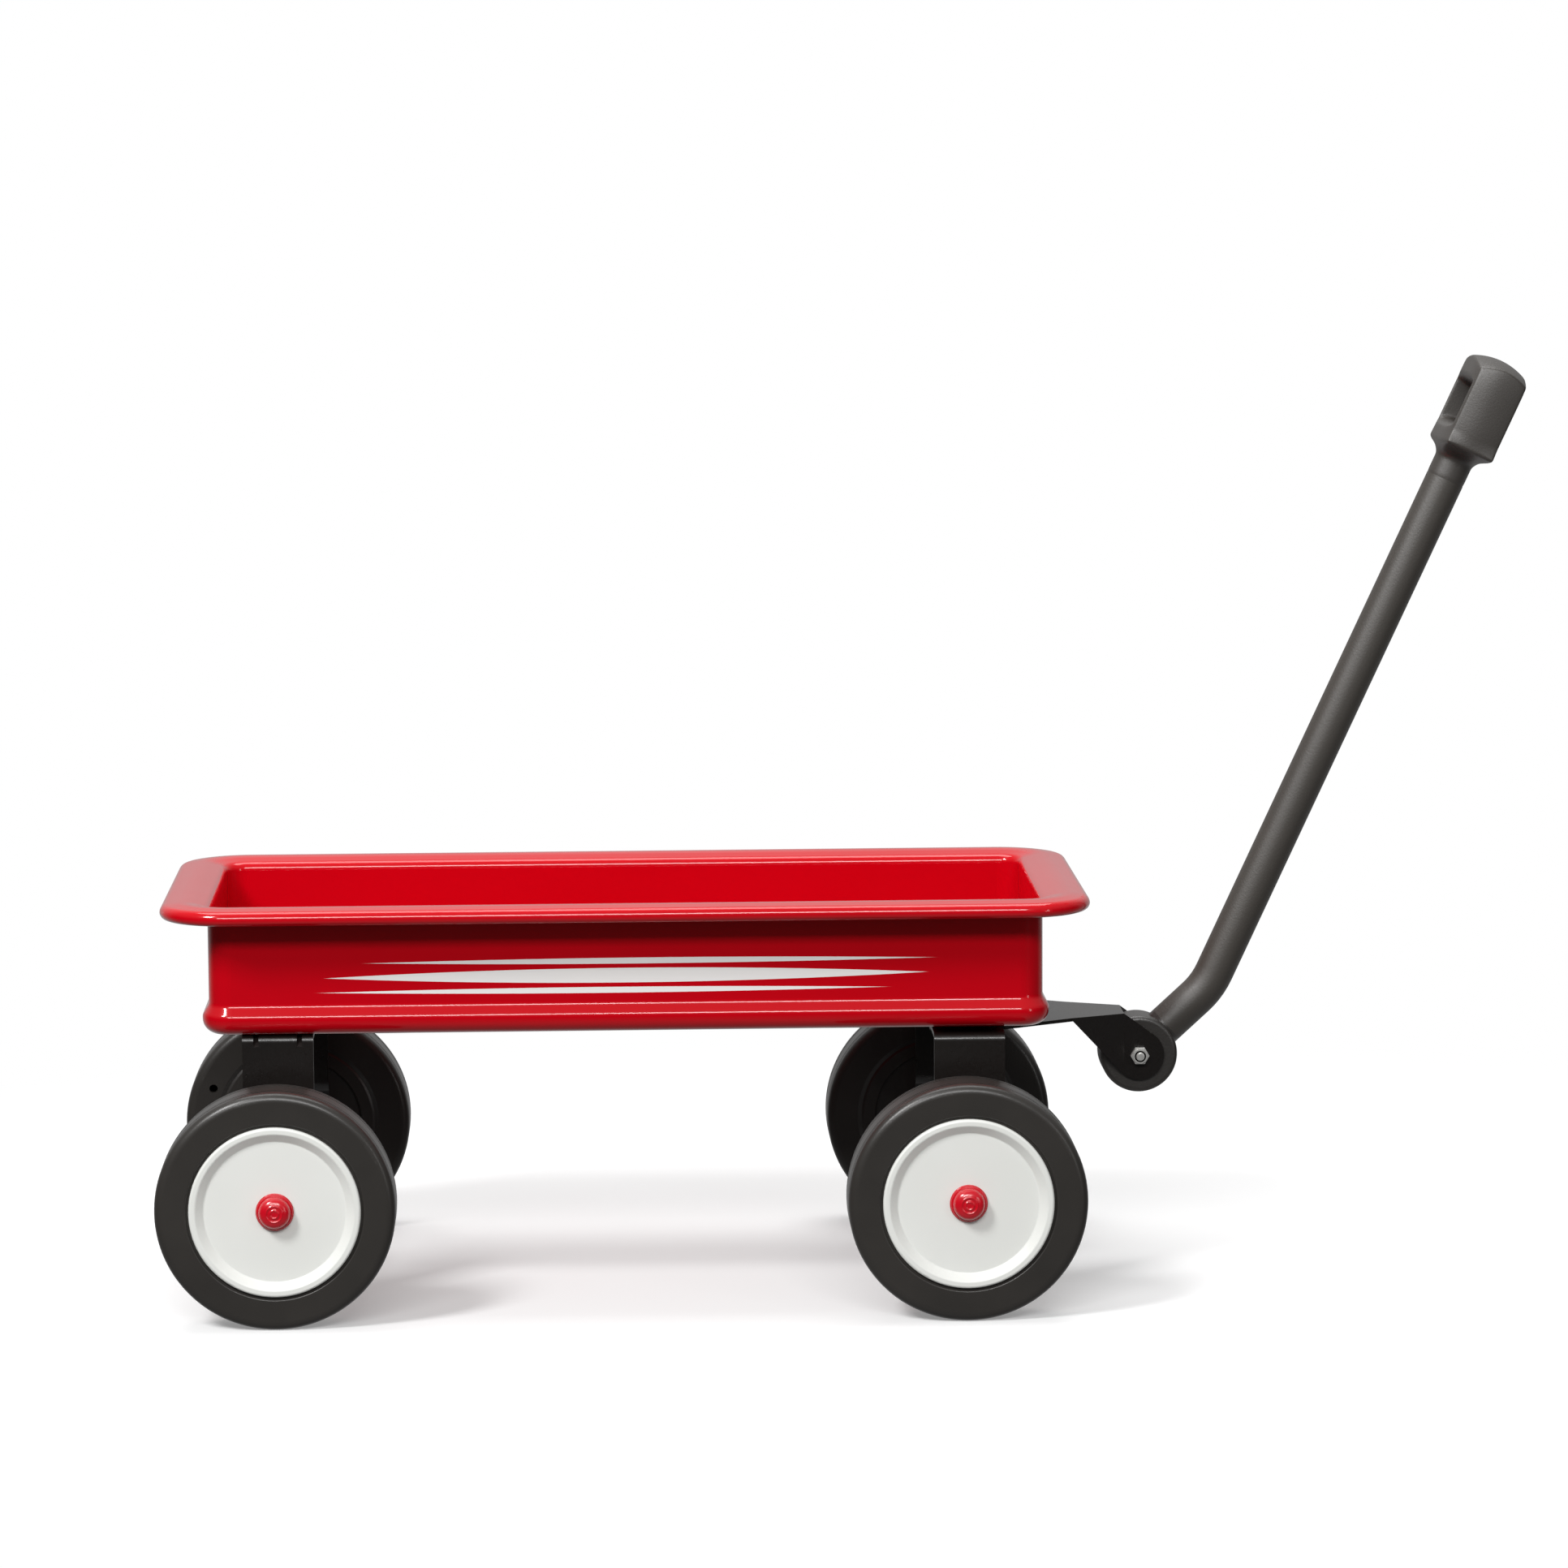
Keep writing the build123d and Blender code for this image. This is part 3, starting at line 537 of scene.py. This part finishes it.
# %% Blocks and modifiers
def block(name, size, middle, cuts):
    """A box of a size in a place, cut into a grid so that it can be bent."""
    deselect()
    bpy.ops.mesh.primitive_cube_add(size=1.0, location=middle)
    made = bpy.context.object
    made.name = name
    made.scale = size
    bpy.ops.object.transform_apply(location=True, rotation=True, scale=True)
    bpy.ops.object.mode_set(mode="EDIT")
    bpy.ops.mesh.select_all(action="SELECT")
    bpy.ops.mesh.subdivide(number_cuts=cuts)
    bpy.ops.object.mode_set(mode="OBJECT")
    return made


def use_modifier(piece, kind, **settings):
    """Adds a modifier with its settings and applies it."""
    deselect()
    piece.select_set(True)
    bpy.context.view_layer.objects.active = piece
    modifier = piece.modifiers.new(kind.lower(), kind)
    for name, value in settings.items():
        setattr(modifier, name, value)
    bpy.ops.object.modifier_apply(modifier=modifier.name)


print("block helpers ready")


# %% Shape the block and cut the slot
def swell(share):
    """How far the shoulders have opened, 0 at the neck and 1 at the block, hollow then quick."""
    held = min(max(share, 0.0), 1.0)
    return held**2.2 * 0.85 + (1 - math.cos(math.pi * held)) / 2 * 0.15


def shape_grip(grip):
    """Turns the block's foot into the round neck, and domes its top and its two sides."""
    for vertex in grip.data.vertices:
        across = vertex.co.x / (GRIP_WIDTH / 2)
        depth = vertex.co.y / (GRIP_THICK / 2)
        height = vertex.co.z
        opened = swell((height - NECK_END) / (SHOULDER - NECK_END))
        neck = tube_radius + (NECK_PROUD if height > 0 else -PLUG_SHY)
        half = neck + (GRIP_WIDTH / 2 - neck) * opened
        thick = neck + (GRIP_THICK / 2 - neck) * opened ** 0.6
        square = min(opened * 1.6, 1.0)
        round_x = across * math.sqrt(1 - depth * depth / 2)
        round_y = depth * math.sqrt(1 - across * across / 2)
        vertex.co.x = half * (round_x + (across - round_x) * square)
        vertex.co.y = thick * (round_y + (depth - round_y) * square)
        rise = max((height - SHOULDER) / (SIDE_TOP - SHOULDER), 0)
        dome = (1 - across * across) * CROWN_ACROSS + (1 - depth * depth) * CROWN_DEPTH
        vertex.co.z += dome * max(rise - 0.5, 0) * 2
        bulge = depth * depth + (2 * rise - 1) ** 4 * 0.4
        vertex.co.x -= across * bulge * FACE_BULGE * min(rise * 6, 1)
        back = BACK_BULGE if depth > 0 else BACK_BULGE * 0.1
        vertex.co.y -= depth * across**4 * back * opened


def make_slot():
    """The finger slot's cutter, longer at both mouths than in the middle."""
    size = (GRIP_WIDTH - 2 * SIDE_THICK, GRIP_THICK * 1.1, SLOT_LENGTH)
    slot = block("slot_cutter", size, (0, 0, 0), SLOT_CUTS)
    for vertex in slot.data.vertices:
        mouth = abs(vertex.co.y) / (GRIP_THICK / 2)
        end = vertex.co.z / (SLOT_LENGTH / 2)
        corner = abs(vertex.co.x) / (size[0] / 2)
        vertex.co.z += end * SLOT_FLARE * mouth**3 - end * SLOT_CORNER * corner**6
        vertex.co.z += SLOT_START + SLOT_LENGTH / 2
    return slot


def make_grip():
    middle = (0, 0, (NECK_START + SIDE_TOP) / 2)
    grip = block("grip_moulding", (GRIP_WIDTH, GRIP_THICK, SIDE_TOP - NECK_START), middle, GRIP_CUTS)
    shape_grip(grip)
    slot = make_slot()
    use_modifier(grip, "BOOLEAN", operation="DIFFERENCE", object=slot, solver="EXACT")
    bpy.data.objects.remove(slot)
    use_modifier(grip, "REMESH", mode="VOXEL", voxel_size=VOXEL, use_smooth_shade=True)
    use_modifier(grip, "SMOOTH", factor=0.6, iterations=12)
    grip.data.transform(Matrix.Translation(grip_foot) @ grip_turn)
    grip.data.update()
    print("grip faces:", len(grip.data.polygons))
    return grip


grip = make_grip()
grip.data.materials.append(finishes["handle_plastic"])
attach(grip, "pull_handle")
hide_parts("handle_grip")


# %% [markdown]
# ## The floor and the light
# The wagon stands on a plain white floor. It only shows to the camera: it takes the shadows near the wagon
# and fades to plain white around them.

# %% Floor
FLOOR_SIZE = 60.0
FADE_START = 0.25
FADE_END = 0.6
LEAST_GLOW = 0.24
deselect()
bpy.ops.mesh.primitive_plane_add(size=FLOOR_SIZE, location=(0, 0, 0))
floor = bpy.context.object
floor.name = "floor"
floor_material, floor_tree, floor_shader, floor_place = start_material("floor_white")
floor_shader.inputs["Base Color"].default_value = (0.97, 0.97, 0.97, 1)
floor_shader.inputs["Roughness"].default_value = 0.9
floor_shader.inputs["Specular IOR Level"].default_value = 0.0
floor_glow = node(floor_tree, "ShaderNodeEmission", {}, {"Color": (1, 1, 1, 1), "Strength": 1.0})
floor_x, floor_y = split(floor_tree, floor_place)[:2]
away = (floor_x * floor_x + floor_y * floor_y * 1.6).math("SQRT")
share = away.clamp(FADE_START, FADE_END) * (1 - LEAST_GLOW) + LEAST_GLOW
fade = node(floor_tree, "ShaderNodeMixShader", {}, {0: share})
floor_tree.links.new(floor_shader.outputs[0], fade.socket.node.inputs[1])
floor_tree.links.new(floor_glow.socket, fade.socket.node.inputs[2])
floor_tree.links.new(fade.socket, floor_tree.nodes["Material Output"].inputs[0])
floor.data.materials.append(floor_material)
floor.visible_glossy = False
floor.visible_diffuse = False
print("floor laid")


# %% [markdown]
# A small soft key stands high on the left and in front, and draws the shadows. A broad lamp in front lights
# the side of the tray from above the rim's overhang, one overhead lights the tray, and a weak one fills in
# from the right. The broad lamps hardly show in reflections. Gloss enamel looks deep only if what it
# mirrors is dark, so the surround is bright overhead and behind, dim in front, and gives a weak, even bounce
# from below. Seen straight from the camera it is plain white.

# %% Lights
def area_light(name, place, target, size, watts, shine=1.0):
    """A soft rectangular lamp aimed at a point; shine scales how much of it shows in reflections."""
    lamp = bpy.data.lights.new(name, "AREA")
    lamp.shape = "RECTANGLE"
    lamp.size, lamp.size_y = size
    lamp.energy = watts
    lamp.specular_factor = shine
    holder = bpy.data.objects.new(name, lamp)
    bpy.context.scene.collection.objects.link(holder)
    holder.location = place
    holder.rotation_euler = (Vector(target) - Vector(place)).to_track_quat("-Z", "Y").to_euler()
    return holder


AIM_HEIGHT = 0.1
aim = (tray_mid.x, 0, AIM_HEIGHT)
area_light("key", (-1.3, -1.3, 1.75), aim, (0.45, 0.6), 36)
area_light("fill", (1.5, -1.7, 0.5), aim, (0.3, 0.9), 3)
area_light("front", (-0.2, -2.1, 1.35), aim, (1.6, 0.4), 31, 0.06)
area_light("top", (-0.1, 0.35, 1.8), aim, (1.6, 0.9), 20, 0.1)

world = bpy.data.worlds.new("studio")
bpy.context.scene.world = world
world.use_nodes = True
sky = world.node_tree
direction = node(sky, "ShaderNodeTexCoord", {}, {}, output=0)
side, depth, height = split(sky, direction)
above = height.clamp(0.0, 0.75)
behind = depth.clamp(0.1, 0.9)
below = (height * -1.0).clamp(0.0, 0.8)
glow = above * 0.3 + behind * 0.42 + below * 0.22 + 0.02
seen = node(sky, "ShaderNodeLightPath", {}, {}, output=0)
strength = glow * (1.0 - seen) + seen
sky.links.new(strength.socket, sky.nodes["Background"].inputs["Strength"])
sky.nodes["Background"].inputs["Color"].default_value = (1, 1, 1, 1)


# %% [markdown]
# ## The camera
# A long lens stands two metres away, above the tray and looking slightly down, and turned slightly to the
# right of square. Its turns are in radians.

# %% Camera
FOCAL = 134.6
SENSOR_WIDTH = 36.0
YAW = 0.0345
PITCH = 0.1235
ROLL = -0.0059
CAMERA_X = -14.14 * MM
CAMERA_Y = -2031.66 * MM
CAMERA_Z = 424.18 * MM
forward = Vector((math.sin(YAW) * math.cos(PITCH), math.cos(YAW) * math.cos(PITCH), -math.sin(PITCH)))
level_right = Vector((math.cos(YAW), -math.sin(YAW), 0))
level_up = level_right.cross(forward)
right = math.cos(ROLL) * level_right + math.sin(ROLL) * level_up
up = math.cos(ROLL) * level_up - math.sin(ROLL) * level_right
camera_data = bpy.data.cameras.new("camera")
camera_data.lens = FOCAL
camera_data.sensor_width = SENSOR_WIDTH
camera = bpy.data.objects.new("camera", camera_data)
bpy.context.scene.collection.objects.link(camera)
turn = Matrix((right, up, -forward)).transposed()
stand = Vector((tray_mid.x + CAMERA_X, CAMERA_Y, CAMERA_Z))
camera.matrix_world = Matrix.Translation(stand) @ turn.to_4x4()
bpy.context.scene.camera = camera
print("camera at", tuple(round(v, 3) for v in stand))
